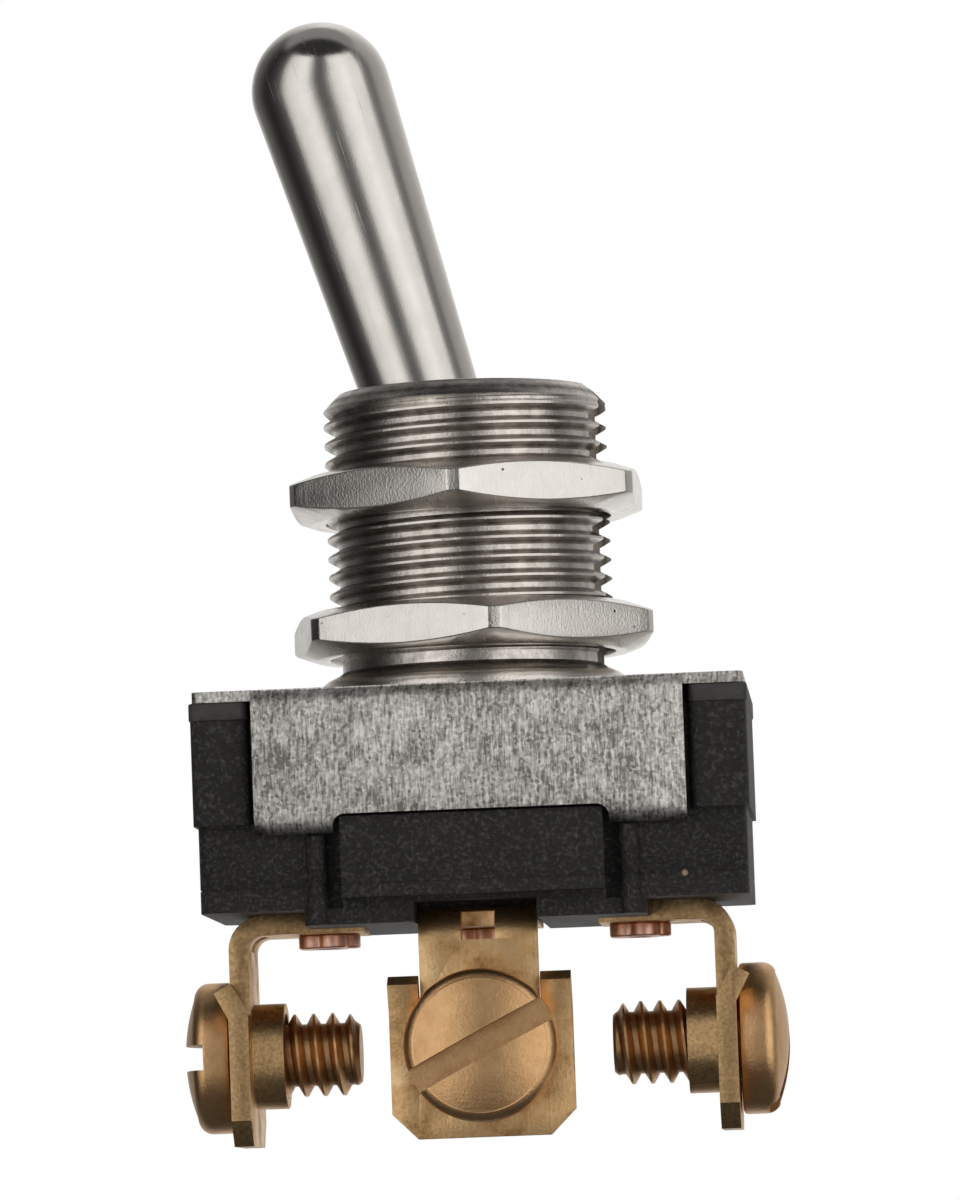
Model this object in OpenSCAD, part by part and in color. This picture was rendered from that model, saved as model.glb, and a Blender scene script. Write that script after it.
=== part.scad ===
// Heavy-duty panel toggle switch: bat lever, threaded bushing, three screw terminals.
// Z runs up the bushing, X along the row of terminals, and the front face looks towards -Y.
// The origin is on the bushing axis, at the top face of the mounting frame.
// The lever stands at rest against its left stop.

/* [Bushing] */
// Major diameter of the bushing thread
bushing_d = 11.86; // [11.4:0.02:12.6]
// Height of the bushing above the frame
bushing_h = 12.65; // [11.5:0.05:15]
// Height of the plain lip above the thread
lip_h = 0.7; // [0.3:0.05:1.2]
// How far the plain lip tapers inwards
lip_taper = 0.6; // [0.2:0.05:0.8]
// Height of the flared foot and the thread relief above it
foot_h = 1.35; // [0.8:0.05:1.4]
// How far the foot flares out past the thread
foot_flare = 0.62; // [0.2:0.02:1]
// Depth of the thread relief above the foot
relief_depth = 0.45; // [0.1:0.05:0.6]
// Width of the keyway
keyway_w = 2.0; // [1:0.1:3]
// Depth of the keyway
keyway_depth = 0.85; // [0.3:0.05:1]
// Angle of the keyway from the +X side
keyway_turn = -6; // [-20:1:20]

/* [Lever] */
// Tilt of the lever to each side of upright
lever_tilt = 16.1; // [12:0.1:17]
// Height of the lever pivot above the frame
pivot_h = 6.43; // [6:0.01:7]
// Distance from the pivot to the end of the lever
lever_reach = 22.93; // [17:0.01:32]
// Diameter of the round end of the lever
tip_d = 5.86; // [5:0.02:7.5]
// Diameter of the lever where it leaves the bushing
neck_d = 4.88; // [3.8:0.02:4.98]
// Diameter of the waist just above the ball
waist_d = 4.3; // [3.4:0.05:4.6]
// Diameter of the pivot ball
ball_d = 7.4; // [6.8:0.05:7.6]
// Diameter of the pivot pin
pin_d = 1.2; // [0.8:0.05:1.6]
// How far the pivot pin reaches into the bushing wall on each side
pin_bite = 0.9; // [0.5:0.05:1]
// Diameter of the lever tail
tail_d = 3.8; // [3.5:0.05:4]

/* [Nuts] */
// Width of the hex nuts across their flats
nut_af = 14.29; // [13.5:0.01:16]
// Diameter over the blunted corners of the nuts
nut_corner_d = 16.2; // [15.6:0.02:18.4]
// Thickness of the hex nuts
nut_t = 2.0; // [1.2:0.05:2.6]
// Angle of the chamfer on both faces of a nut
nut_chamfer = 20; // [10:1:35]
// Height of the middle of the upper nut
upper_nut_h = 8.2; // [7.2:0.05:9.4]
// Height of the middle of the lower nut
lower_nut_h = 2.5; // [2.35:0.05:3.6]
// Turn of the upper nut
upper_nut_turn = -1; // [-30:1:30]
// Turn of the lower nut
lower_nut_turn = 9.6; // [-30:0.1:30]
// Radial clearance between the nuts and the bushing
nut_clear = 0.05; // [0.02:0.01:0.1]

/* [Frame] */
// Thickness of the frame sheet
sheet_t = 0.45; // [0.3:0.05:0.7]
// Depth of the frame over both flanges
frame_depth = 14.2; // [13.6:0.05:17]
// Length of the frame plate
frame_l = 22.7; // [21:0.1:23]
// Width of each flange
flange_w = 17.74; // [16:0.02:18.2]
// Height of each flange between its tabs
flange_h = 5.25; // [4.6:0.05:5.4]
// Inside radius of the frame bends
bend_r = 0.4; // [0.2:0.05:0.6]
// Width of the tabs that curl under the case
tab_w = 3.2; // [2:0.05:3.3]
// How far the tabs reach below the flange
tab_drop = 0.75; // [0.5:0.05:0.9]
// Thickness of the insulating gasket
gasket_t = 0.77; // [0.5:0.05:1]

/* [Case] */
// How far the case stands out past the frame plate at each end
case_over = 0.1; // [0:0.05:0.3]
// How far the top bosses stand out past the lower part at each end
boss_step = 0.15; // [0:0.05:0.4]
// Height of the case from its top edge to its underside
case_h = 7.88; // [7.6:0.02:9]
// Height of the corner bosses
boss_h = 4.3; // [4:0.05:4.6]
// Depth of the step under the bosses and the flanges
ledge = 0.5; // [0.35:0.05:0.8]
// Thickness of the case walls
wall = 1.1; // [0.8:0.05:1.6]
// Thickness of the case floor
floor_t = 1.0; // [0.7:0.05:1.2]
// Width of the raised block in the middle of each long side
block_w = 10.8; // [8:0.1:11]
// How far that block stands out past the lower part
block_proud = 0.75; // [0.2:0.05:0.9]
// Width of the round ribs beside the block
rib_w = 0.82; // [0.5:0.02:1]
// Width of the slots between the block and the ribs
slot_w = 0.65; // [0.3:0.05:0.8]
// Height of the barrier pads under the case
pad_h = 0.65; // [0.3:0.05:0.8]
// Length of each barrier pad
pad_l = 4.5; // [3.6:0.1:4.8]

/* [Terminals] */
// Thickness of the terminal strip
strip_t = 0.82; // [0.6:0.02:1]
// Width of the terminal strip
strip_w = 4.9; // [4:0.05:5.2]
// Width of the terminal plate under the screw
plate_w = 7.56; // [6.8:0.02:8.4]
// Distance from the axis to the outer face of a side terminal
side_reach = 10.5; // [10:0.05:12]
// Distance from the axis to the outer face of the centre terminal
front_reach = 4.75; // [4.4:0.05:5.4]
// Distance from the underside of the case to the screw axis
screw_drop = 5.8; // [5.6:0.05:8]
// Distance from the screw axis to the end of a terminal
plate_end = 3.75; // [3.4:0.05:5]
// Size of the corners cut off the end of a terminal
plate_chamfer = 1.05; // [0.3:0.05:1.6]
// Inside radius of the terminal bend
strip_bend_r = 0.6; // [0.3:0.05:0.8]
// Width of the slot in the terminal bend
bend_slot_w = 1.4; // [0.6:0.05:2.4]
// Length of the ears beside the screw head
ear_l = 1.5; // [0.6:0.05:1.7]
// Angle that the ears are bent outwards
ear_bend = 28; // [0:1:40]
// Outside diameter of the tapped collar
collar_d = 4.4; // [4.2:0.05:5]
// Length of the tapped collar
collar_l = 1.3; // [0.6:0.05:1.8]

/* [Terminal screws] */
// Major diameter of the terminal screws
screw_d = 3.46; // [2.8:0.02:3.9]
// Length of a terminal screw under its head
screw_l = 5.3; // [3.4:0.05:6]
// Diameter of the screw head
head_d = 6.3; // [5.2:0.05:6.5]
// Height of the screw head
head_h = 2.05; // [1.5:0.05:2.6]
// Height of the dome on the screw head
dome_h = 0.45; // [0.3:0.05:0.7]
// Radius of the shoulder between the rim and the dome
shoulder_r = 0.6; // [0.3:0.05:0.8]
// Width of the screwdriver slot
driver_w = 1.05; // [0.6:0.05:1.4]
// Depth of the screwdriver slot
driver_depth = 0.95; // [0.4:0.05:1.2]
// Turn of the slot in the centre screw
center_slot_turn = 27; // [-90:1:90]
// Gap between the head and the terminal
head_gap = 0.08; // [0.05:0.01:0.3]
// Radial clearance of a screw in its collar
screw_clear = 0.05; // [0.02:0.01:0.1]

/* [Rivets and contacts] */
// Distance from the axis to a side rivet
rivet_x = 6.5; // [6.2:0.05:6.9]
// Shank diameter of the rivets
rivet_d = 1.7; // [1.2:0.05:2]
// Width over the lobes of a clinched rivet end
clinch_d = 2.68; // [2.3:0.02:3.2]
// Height of a clinched rivet end
clinch_h = 0.58; // [0.3:0.02:0.8]
// Diameter of the inner rivet heads
inner_head_d = 3.2; // [2.4:0.05:3.6]
// Thickness of the inner rivet heads
inner_head_t = 0.4; // [0.3:0.05:0.6]
// Diameter of the silver contacts
contact_d = 2.4; // [1.6:0.05:2.8]
// Thickness of the silver contacts
contact_t = 0.45; // [0.3:0.05:0.6]
// Gap left between closed contacts
contact_gap = 0.08; // [0.04:0.01:0.2]

/* [Rocker and plunger] */
// Swing of the contact rocker to each side of level
rocker_swing = 9; // [6:0.5:10]
// Height of the rocker pivot above the case floor
rocker_h = 2.1; // [2:0.05:2.4]
// Thickness of the rocker bar
bar_t = 0.6; // [0.4:0.05:0.8]
// Width of the rocker bar
bar_w = 3.8; // [2.4:0.1:4.2]
// Diameter of the rocker trunnions
trunnion_d = 1.0; // [0.7:0.05:1.2]
// Thickness of the yoke sheet
yoke_t = 0.5; // [0.4:0.05:0.6]
// Height of the plunger tip's centre over the rocker pivot, with the lever upright
tip_over_rocker = 2.23; // [2.1:0.01:2.5]
// How far the centre of the plunger tip stands out of the lever's tail
plunger_out = 2.0; // [1.7:0.05:2.4]
// Diameter of the plunger
plunger_d = 2.4; // [2:0.05:2.6]
// Length of the plunger behind its round tip
plunger_l = 3.6; // [2.8:0.1:4]
// Running clearance of turning and sliding parts
run_clear = 0.05; // [0.02:0.01:0.08]
// Gap between the plunger tip and the rocker cradle
cradle_gap = 0.12; // [0.06:0.02:0.3]
// Wire diameter of the plunger spring
spring_wire = 0.3; // [0.2:0.02:0.36]
// Number of turns in the plunger spring
spring_turns = 6; // [4:1:9]

/* [Hidden] */

$fn = 64;
eps = 0.01;
seat = 0.02;          // radial gap of pieces that are staked or pressed together

// Bushing
bushing_r = bushing_d / 2;
bore_low_r = bushing_r - 1.53;
bore_mid_r = ball_d / 2 + 0.2;
seat_r = ball_d / 2 - 0.35;
seat_z = pivot_h + 0.52 * ball_d / 2;
mouth_r = bushing_r - lip_taper - 0.73;
relief_r = bushing_r - relief_depth;
foot_r = bushing_r + foot_flare;
spigot_r = bore_low_r + 0.8;
stake_h = 0.5;
stake_r = spigot_r + 0.4;
pin_half = bore_mid_r + pin_bite;

// Frame, gasket and case, from the top down
frame_y = frame_depth / 2;
flange_in_y = frame_y - sheet_t;
case_top = -sheet_t - gasket_t;
case_under = case_top - case_h;
floor_z = case_under + floor_t;
boss_under = case_top - boss_h;
side_gap = 0.05;
upper_y = flange_in_y - side_gap;
lower_y = upper_y - ledge;
boss_y = upper_y - side_gap;
boss_x = flange_w / 2 + 0.18;
end_x = frame_l / 2 + case_over;
case_l = 2 * (end_x - boss_step);
block_top = -flange_h - 0.1;
block_under = case_under + 0.4;
rib_x = block_w / 2 + slot_w + rib_w / 2;
cavity_x = case_l / 2 - wall - 0.2;
cavity_y = lower_y - wall;
pad_x = strip_w / 2 + 0.08;
pocket_x = pad_x + 0.52 * pad_l;

// Lever
tip_r = tip_d / 2;
neck_s = (bushing_h - pivot_h) / cos(lever_tilt);
waist_s = 0.45 * ball_d;
plunger_r = plunger_d / 2;
plunger_bore_r = plunger_r + run_clear;
rocker_z = case_under + floor_t + rocker_h;
plunger_reach = pivot_h - rocker_z - tip_over_rocker;
tail_reach = plunger_reach - plunger_out;
plunger_top_s = plunger_l - plunger_reach;
spring_l = 4.0;
spring_top_s = plunger_top_s + spring_l;

// Terminals and screws
screw_z = case_under - screw_drop;
screw_r = screw_d / 2;
strip_end = 1.6;

// Contacts, rocker and yoke
contact_z = floor_z + inner_head_t + contact_t;
cheek_y = bar_w / 2 + 0.15;
mid_z = pivot_h - plunger_reach - rocker_z;
out_x = plunger_reach * sin(lever_tilt);
out_z = pivot_h - plunger_reach * cos(lever_tilt) - rocker_z;
track_x = out_x * cos(rocker_swing) - out_z * sin(rocker_swing);
track_z = out_x * sin(rocker_swing) + out_z * cos(rocker_swing);
track_r = (pow(track_x, 2) + pow(track_z - mid_z, 2)) / (2 * (track_z - mid_z));
cradle_r = track_r + plunger_r + cradle_gap;
cradle_z = mid_z + track_r;
cradle_x = track_x + 1;
flank_z = cradle_z - sqrt(pow(cradle_r, 2) - pow(cradle_x, 2));
touch_z = contact_z + contact_gap - rocker_z;
mover_x = rivet_x * cos(rocker_swing) - touch_z * sin(rocker_swing);
mover_z = rivet_x * sin(rocker_swing) + touch_z * cos(rocker_swing);
bar_z = mover_z + contact_t;
bar_half = mover_x + contact_d / 2 + 0.15;

// Turns a shape that stands on the pivot into the resting lever's direction
module at_lever() {
    translate([0, 0, pivot_h]) rotate([0, -lever_tilt, 0]) children();
}

// Turns a shape drawn level about the rocker pivot into its resting tilt
module at_rocker() {
    translate([0, 0, rocker_z]) rotate([0, rocker_swing, 0]) children();
}

// Extrudes a front view, drawn in X and Z, from the back to the front
module front_view(depth) {
    rotate([90, 0, 0]) linear_extrude(depth, center = true) children();
}

// Extrudes a side view, drawn in Y and Z, along X
module side_view(length) {
    rotate([90, 0, 90]) linear_extrude(length, center = true) children();
}

// A rectangle with round corners, centred
module round_rect(length, depth, r) {
    square([length - 2 * r, depth], center = true);
    square([length, depth - 2 * r], center = true);
    for (x = [-1, 1], y = [-1, 1])
        translate([x * (length / 2 - r), y * (depth / 2 - r)]) circle(r);
}

// The bat: ball, waist, long taper and round end, with a bored tail
module bat_lever() {
    slope = (tip_r - neck_d / 2) / (lever_reach - tip_r - neck_s);
    color("silver") at_lever() difference() {
        union() {
            rotate_extrude() polygon([
                [0, 0], [waist_d / 2, 0], [waist_d / 2, waist_s], [neck_d / 2 - slope, neck_s - 1],
                [tip_r, lever_reach - tip_r], [0, lever_reach - tip_r]
            ]);
            translate([0, 0, lever_reach - tip_r]) sphere(tip_r);
            sphere(ball_d / 2);
            translate([0, 0, -tail_reach]) cylinder(h = tail_reach, r = tail_d / 2);
        }
        translate([0, 0, -tail_reach - eps])
            cylinder(h = tail_reach + spring_top_s + eps, r = plunger_bore_r);
        rotate([90, 0, 0]) cylinder(h = ball_d + 1, r = pin_d / 2, center = true);
    }
}

// Cross pin that carries the lever in the slots of the bushing
module lever_pin() {
    color("gray") translate([0, 0, pivot_h]) rotate([90, 0, 0])
        cylinder(h = 2 * pin_half, r = pin_d / 2, center = true);
}

// Round-nosed plunger that slides in the lever's tail
module plunger() {
    color("ivory") at_lever() translate([0, 0, -plunger_reach]) {
        cylinder(h = plunger_l, r = plunger_r);
        sphere(plunger_r);
    }
}

// Coil spring between the plunger and the end of its bore
function spring_ring(i, n, sides) =
    let (
        a = 360 * spring_turns * i / n,
        r = plunger_r - spring_wire / 2 - 0.06,
        z = spring_wire / 2 + (spring_l - spring_wire) * i / n
    )
    [for (k = [0 : sides - 1]) let (b = 360 * k / sides)
        [(r + spring_wire / 2 * cos(b)) * cos(a), (r + spring_wire / 2 * cos(b)) * sin(a),
            z + spring_wire / 2 * sin(b)]];

module plunger_spring() {
    sides = 6;
    n = 12 * spring_turns;
    points = [for (i = [0 : n]) each spring_ring(i, n, sides)];
    skin = [for (i = [0 : n - 1], k = [0 : sides - 1])
        [i * sides + k, (i + 1) * sides + k, (i + 1) * sides + (k + 1) % sides, i * sides + (k + 1) % sides]];
    caps = [[for (k = [0 : sides - 1]) k], [for (k = [sides - 1 : -1 : 0]) n * sides + k]];
    color("lightsteelblue") at_lever() translate([0, 0, plunger_top_s])
        polyhedron(points, concat(skin, caps), convexity = 10);
}

// Turned bushing: lip, thread at its major diameter, relief, flared foot and staked spigot
module bushing() {
    mouth_z = bushing_h - lip_h;
    color("lightgray") difference() {
        rotate_extrude() polygon([
            [bore_low_r, -sheet_t - stake_h], [stake_r, -sheet_t - stake_h], [stake_r, -sheet_t],
            [spigot_r, -sheet_t], [spigot_r, 0], [foot_r, 0], [foot_r - 0.15, 0.3 * foot_h],
            [relief_r, 0.7 * foot_h], [relief_r, foot_h], [bushing_r, foot_h + relief_depth],
            [bushing_r, mouth_z], [bushing_r - lip_taper, bushing_h], [mouth_r, bushing_h],
            [seat_r, seat_z], [bore_mid_r, pivot_h], [bore_mid_r, pivot_h - 3], [bore_low_r, pivot_h - 4]
        ]);
        rotate([0, 0, keyway_turn]) translate([bushing_r - keyway_depth, -keyway_w / 2, 0.7 * foot_h])
            cube([keyway_depth + foot_flare + 1, keyway_w, bushing_h]);
        for (side = [-1, 1]) intersection() {
            pin_slot();
            rotate([0, 0, side * 90]) translate([0, -2, -2]) cube([pin_half + run_clear, 4, bushing_h]);
        }
    }
}

// Slot across the bushing, open below, with a round top that the pin bears on
module pin_slot() {
    rotate([90, 0, 0]) linear_extrude(bushing_d, center = true) {
        translate([0, pivot_h]) circle(pin_d / 2 + run_clear);
        translate([-pin_d / 2 - run_clear, -2]) square([pin_d + 2 * run_clear, pivot_h + 2]);
    }
}

// Jam nut with blunted corners, chamfered on both faces
module hex_nut(height, turn) {
    chamfer_r = nut_af / 2 - 0.55;
    rise = (nut_corner_d / 2 - chamfer_r) * tan(nut_chamfer);
    translate([0, 0, height]) rotate([0, 0, turn]) difference() {
        intersection() {
            rotate([0, 0, 30]) cylinder(h = nut_t, r = nut_af / 2 / cos(30), center = true, $fn = 6);
            rotate_extrude() polygon([
                [0, -nut_t / 2], [chamfer_r, -nut_t / 2], [nut_corner_d / 2, rise - nut_t / 2],
                [nut_corner_d / 2, nut_t / 2 - rise], [chamfer_r, nut_t / 2], [0, nut_t / 2]
            ]);
        }
        cylinder(h = nut_t + 1, r = bushing_r + nut_clear, center = true);
    }
}

module upper_hex_nut() {
    color("gainsboro") hex_nut(upper_nut_h, upper_nut_turn);
}

module lower_hex_nut() {
    color("gainsboro") hex_nut(lower_nut_h, lower_nut_turn);
}

// Cross-section of the folded sheet, in Y and Z, with its bends and curled edges
module frame_section() {
    out_r = bend_r + sheet_t;
    curl_r = 0.3;
    curl_out = curl_r + sheet_t;
    translate([0, -sheet_t / 2]) square([2 * (frame_y - out_r), sheet_t], center = true);
    for (side = [0, 1]) mirror([side, 0]) {
        quarter_ring([frame_y - out_r, -out_r], bend_r, out_r, 0);
        translate([flange_in_y, -flange_h - tab_drop + curl_out])
            square([sheet_t, flange_h + tab_drop - curl_out - out_r]);
        quarter_ring([frame_y - curl_out, -flange_h - tab_drop + curl_out], curl_r, curl_out, -90);
    }
}

// A quarter of a ring, used where sheet is bent
module quarter_ring(center, in_r, out_r, turn) {
    translate(center) rotate(turn) intersection() {
        difference() {
            circle(out_r);
            circle(in_r);
        }
        square(out_r + 1);
    }
}

// Folded frame: plate, two flanges and four tabs curled under the ledge of the case
module mounting_frame() {
    tab_x = flange_w / 2 - tab_w;
    corner = 0.5;
    color("darkgray") difference() {
        union() {
            difference() {
                side_view(flange_w) frame_section();
                front_view(frame_depth + 1) {
                    translate([-tab_x, -flange_h - 3]) square([2 * tab_x, 3 - corner]);
                    translate([-tab_x + corner, -flange_h - corner - eps])
                        square([2 * (tab_x - corner), corner + eps]);
                    for (x = [-1, 1]) translate([x * (tab_x - corner), -flange_h - corner]) circle(corner);
                }
            }
            translate([0, 0, -sheet_t]) linear_extrude(sheet_t) round_rect(frame_l, 2 * boss_y, 0.4);
        }
        translate([0, 0, -sheet_t - 1]) cylinder(h = sheet_t + 2, r = spigot_r + seat);
    }
}

// Insulating sheet between the frame and the case
module gasket() {
    inner_y = frame_y - sheet_t - bend_r - side_gap;
    color("dimgray") translate([0, 0, case_top]) linear_extrude(gasket_t) difference() {
        union() {
            square([flange_w, 2 * inner_y], center = true);
            for (x = [-1, 1]) translate([x * (end_x + boss_x + side_gap) / 2, 0])
                round_rect(end_x - boss_x + side_gap, 2 * boss_y, 0.35);
            square([2 * boss_x + 1, 2 * inner_y - 1], center = true);
        }
        circle(stake_r + 0.2);
    }
}

// Outline of the case at the height of its corner bosses
module boss_outline() {
    square([2 * end_x - 1, 2 * lower_y], center = true);
    for (x = [-1, 1]) translate([x * (boss_x + end_x) / 2, 0])
        round_rect(end_x - boss_x, 2 * boss_y, 0.4);
}

// Outline of the case below its bosses
module lower_outline() {
    difference() {
        round_rect(case_l, 2 * lower_y, 0.5);
        for (x = [-1, 1], y = [-1, 1])
            translate([x * (block_w + slot_w) / 2, y * lower_y]) square([slot_w, 0.7], center = true);
    }
}

// Barrier pad beside the centre terminal, with the pocket of a side terminal
module barrier_pad() {
    translate([0, 0, case_under - pad_h]) linear_extrude(pad_h + eps) difference() {
        union() {
            translate([pad_x, -lower_y]) square([pad_l - 0.3, 2 * lower_y]);
            translate([pad_x + pad_l - 0.3 - eps, -lower_y + 0.3]) square([0.3 + eps, 2 * lower_y - 0.6]);
            for (y = [-1, 1]) translate([pad_x + pad_l - 0.3, y * (lower_y - 0.3)]) circle(0.3);
        }
        translate([pocket_x, -strip_w / 2 - 0.08]) square([pad_l, strip_w + 0.16]);
    }
}

// Moulded case: an open box with bosses, proud blocks, ribs and barrier pads
module case() {
    rib_under = case_under - pad_h;
    rib_top = -flange_h - tab_drop - 0.1;
    color("#2b2b2b") difference() {
        union() {
            translate([0, 0, side_gap - flange_h]) linear_extrude(case_top + flange_h - side_gap)
                square([flange_w, 2 * upper_y], center = true);
            translate([0, 0, boss_under]) linear_extrude(boss_h) boss_outline();
            translate([0, 0, case_under]) linear_extrude(case_h) lower_outline();
            translate([0, 0, block_under]) linear_extrude(block_top - block_under)
                square([block_w, 2 * (lower_y + block_proud)], center = true);
            for (x = [-1, 1], y = [-1, 1]) translate([x * rib_x, y * (lower_y - 0.06), rib_under])
                cylinder(h = rib_top - rib_under, r = rib_w / 2);
            for (side = [0, 1]) mirror([side, 0, 0]) barrier_pad();
        }
        translate([0, 0, floor_z]) linear_extrude(case_h) round_rect(2 * cavity_x, 2 * cavity_y, 0.8);
        translate([-pad_x, -frame_depth, case_under - 1])
            cube([2 * pad_x, frame_depth - front_reach + strip_t + strip_bend_r, 1.2]);
        for (x = [-rivet_x, 0, rivet_x]) translate([x, 0, case_under - 1])
            cylinder(h = floor_t + 2, r = rivet_d / 2 + seat);
    }
}

// Front view of a terminal below its bend: neck, plate with cut corners
module terminal_plate() {
    half = plate_w / 2;
    ear_root = screw_z + head_d / 2 - 1.45;
    difference() {
        union() {
            translate([-strip_w / 2, screw_z])
                square([strip_w, case_under - strip_t - strip_bend_r - screw_z]);
            polygon([
                [-half, ear_root], [-half, screw_z - plate_end + plate_chamfer],
                [-half + plate_chamfer, screw_z - plate_end], [half - plate_chamfer, screw_z - plate_end],
                [half, screw_z - plate_end + plate_chamfer], [half, ear_root]
            ]);
        }
        translate([0, screw_z]) circle(screw_r + screw_clear);
    }
}

// One terminal, drawn with its outer face towards -Y at the distance reach from the axis
module terminal(reach) {
    back = -reach + strip_t;
    out_r = strip_bend_r + strip_t;
    ear_in = strip_w / 2 + 0.06;
    ear_root = screw_z + head_d / 2 - 1.45;
    slot_top = case_under - strip_t - strip_bend_r;
    difference() {
        union() {
            translate([0, back, 0]) rotate([90, 0, 0]) linear_extrude(strip_t) terminal_plate();
            side_view(strip_w) quarter_ring([-reach + out_r, case_under - out_r], strip_bend_r, out_r, 90);
            translate([-strip_w / 2, -reach + out_r, case_under - strip_t])
                cube([strip_w, reach - out_r + strip_start(reach), strip_t]);
            for (side = [0, 1]) mirror([side, 0, 0]) translate([ear_in, back, ear_root])
                rotate([ear_bend, 0, 0]) translate([0, -strip_t, -0.05])
                    cube([plate_w / 2 - ear_in, strip_t, ear_l]);
            translate([0, back, screw_z]) rotate([-90, 0, 0]) difference() {
                cylinder(h = collar_l, r = collar_d / 2);
                translate([0, 0, -1]) cylinder(h = collar_l + 2, r = screw_r + screw_clear);
            }
        }
        translate([-bend_slot_w / 2, -reach - 1, slot_top])
            cube([bend_slot_w, out_r + 1, strip_bend_r + 0.6]);
        translate([0, strip_hole(reach), case_under - strip_t - 1])
            cylinder(h = strip_t + 2, r = rivet_d / 2 + seat);
    }
}

// Place of the rivet hole along a terminal: a side terminal's rivet stands off the axis
function strip_hole(reach) = reach > front_reach ? -rivet_x : 0;

// Inner end of the strip, past its rivet
function strip_start(reach) = strip_hole(reach) + strip_end;

module terminal_left() {
    color("goldenrod") rotate([0, 0, -90]) terminal(side_reach);
}

module terminal_center() {
    color("goldenrod") terminal(front_reach);
}

module terminal_right() {
    color("goldenrod") rotate([0, 0, 90]) terminal(side_reach);
}

// Slotted binding-head screw along -Y, its head outside the terminal
module terminal_screw(reach, slot_turn) {
    head_r = head_d / 2;
    rim_h = head_h - dome_h - shoulder_r;
    dome_r = (pow(head_r - shoulder_r, 2) + pow(dome_h, 2)) / (2 * dome_h);
    face = -reach - head_gap;
    translate([0, face, screw_z]) rotate([90, 0, 0]) difference() {
        union() {
            translate([0, 0, -screw_l]) cylinder(h = screw_l + eps, r = screw_r);
            intersection() {
                rotate_extrude() {
                    square([head_r - 0.1, rim_h]);
                    translate([0, 0.1]) square([head_r, rim_h - 0.1]);
                    translate([head_r - shoulder_r, rim_h]) circle(shoulder_r);
                    square([head_r - shoulder_r, head_h]);
                }
                translate([0, 0, head_h - dome_r]) sphere(dome_r, $fn = 128);
            }
        }
        rotate([0, 0, slot_turn]) translate([-head_d, -driver_w / 2, head_h - driver_depth])
            cube([2 * head_d, driver_w, head_h]);
    }
}

module terminal_screw_left() {
    color("peru") rotate([0, 0, -90]) terminal_screw(side_reach, 0);
}

module terminal_screw_center() {
    color("peru") terminal_screw(front_reach, center_slot_turn);
}

module terminal_screw_right() {
    color("peru") rotate([0, 0, 90]) terminal_screw(side_reach, 74);
}

// Rivet through the case floor: inner head, shank and a clinched end with lobes
module rivet(x, seat_z) {
    lobes = 5;
    lobe_r = 0.24 * clinch_d;
    color("chocolate") translate([x, 0, 0]) {
        translate([0, 0, case_under - strip_t - eps])
            cylinder(h = seat_z - case_under + strip_t + 2 * eps, r = rivet_d / 2);
        translate([0, 0, seat_z]) cylinder(h = inner_head_t, r = inner_head_d / 2);
        translate([0, 0, case_under - strip_t - clinch_h]) difference() {
            linear_extrude(clinch_h) {
                circle(clinch_d / 2 - 0.7 * lobe_r);
                for (k = [0 : lobes - 1]) rotate(360 / lobes * k)
                    translate([clinch_d / 2 - lobe_r, 0]) circle(lobe_r);
            }
            translate([0, 0, -1]) cylinder(h = 1 + clinch_h, r = 0.3 * rivet_d);
        }
    }
}

module rivet_left() {
    rivet(-rivet_x, floor_z);
}

module rivet_center() {
    rivet(0, floor_z + yoke_t);
}

module rivet_right() {
    rivet(rivet_x, floor_z);
}

// Silver button on the inner head of a side rivet
module fixed_contact(x) {
    color("whitesmoke") translate([x, 0, contact_z - contact_t]) cylinder(h = contact_t, r = contact_d / 2);
}

module fixed_contact_left() {
    fixed_contact(-rivet_x);
}

module fixed_contact_right() {
    fixed_contact(rivet_x);
}

// Folded yoke: two cheeks that carry the rocker's trunnions
module fulcrum_yoke() {
    cheek_r = 1.3;
    color("khaki") difference() {
        union() {
            translate([-cheek_r, -cheek_y - yoke_t, floor_z])
                cube([2 * cheek_r, 2 * (cheek_y + yoke_t), yoke_t]);
            for (side = [0, 1]) mirror([0, side, 0]) translate([0, cheek_y + yoke_t, 0]) rotate([90, 0, 0])
                linear_extrude(yoke_t) {
                    translate([-cheek_r, floor_z]) square([2 * cheek_r, rocker_h]);
                    translate([0, rocker_z]) circle(cheek_r);
                }
        }
        translate([0, 0, rocker_z]) rotate([90, 0, 0])
            cylinder(h = 4 * cheek_y, r = trunnion_d / 2 + run_clear, center = true);
        translate([0, 0, floor_z - 1]) cylinder(h = yoke_t + 2, r = rivet_d / 2 + seat);
    }
}

// Rocker: contact bar, cradle for the plunger tip, hub and trunnions
module contact_rocker() {
    hub_r = 0.8;
    color("orange") at_rocker() {
        front_view(bar_w) difference() {
            union() {
                translate([-bar_half, bar_z]) square([2 * bar_half, bar_t]);
                polygon([
                    [-cradle_x - 0.8, bar_z], [cradle_x + 0.8, bar_z],
                    [cradle_x, flank_z], [-cradle_x, flank_z]
                ]);
                translate([-hub_r, 0]) square([2 * hub_r, bar_z + eps]);
                circle(hub_r);
            }
            translate([0, cradle_z]) circle(cradle_r);
        }
        rotate([90, 0, 0]) cylinder(h = 2 * (cheek_y + yoke_t), r = trunnion_d / 2, center = true);
    }
}

// Domed silver button under one end of the rocker bar
module moving_contact(side) {
    dome_r = 2.2 * contact_d;
    color("whitesmoke") at_rocker() intersection() {
        translate([side * mover_x, 0, mover_z]) cylinder(h = contact_t, r = contact_d / 2);
        translate([side * mover_x, 0, mover_z + dome_r]) sphere(dome_r, $fn = 128);
    }
}

module moving_contact_left() {
    moving_contact(-1);
}

module moving_contact_right() {
    moving_contact(1);
}

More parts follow.
